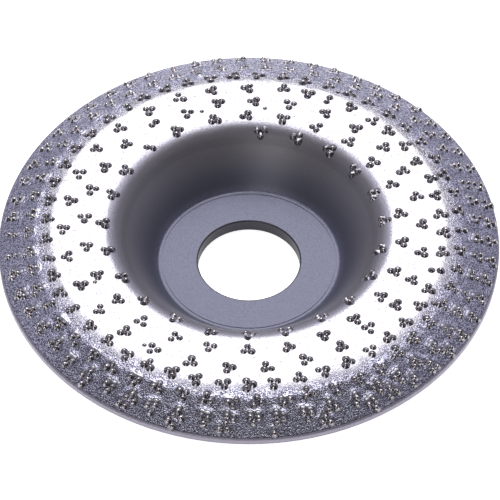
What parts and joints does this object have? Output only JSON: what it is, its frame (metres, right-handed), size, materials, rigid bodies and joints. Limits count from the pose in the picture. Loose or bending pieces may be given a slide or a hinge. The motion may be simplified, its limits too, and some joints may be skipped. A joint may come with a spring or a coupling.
{
  "type": "grinder carving disc",
  "caption": "Dished steel disc for an angle grinder, with a deep centre recess, a plain arbor bore and carbide grains brazed in clusters over its working face.",
  "frame": {"origin": "on the bore's axis, on the hub's underside, which sits on the grinder's spindle flange", "axes": "+Z along the bore towards the working face with the grains; +X and +Y in the disc's plane, the spiral of grains starts near +Y"},
  "size_m": [0.1076, 0.1076, 0.0156],
  "materials": {
    "steel": "bead-blasted and oiled, dull grey-blue",
    "braze": "bright brazed skin with a fine grainy texture",
    "carbide": "dark carbide grains wetted with braze"
  },
  "bodies": {
    "root": {"dish_plate": "steel", "braze_coat": "braze", "carbide_turn_1": "carbide", "carbide_turn_2": "carbide", "carbide_turn_3": "carbide", "carbide_turn_4": "carbide", "carbide_turn_5": "carbide", "carbide_turn_6": "carbide", "carbide_turn_7": "carbide", "stray_grains": "carbide"}
  },
  "joints": []
}
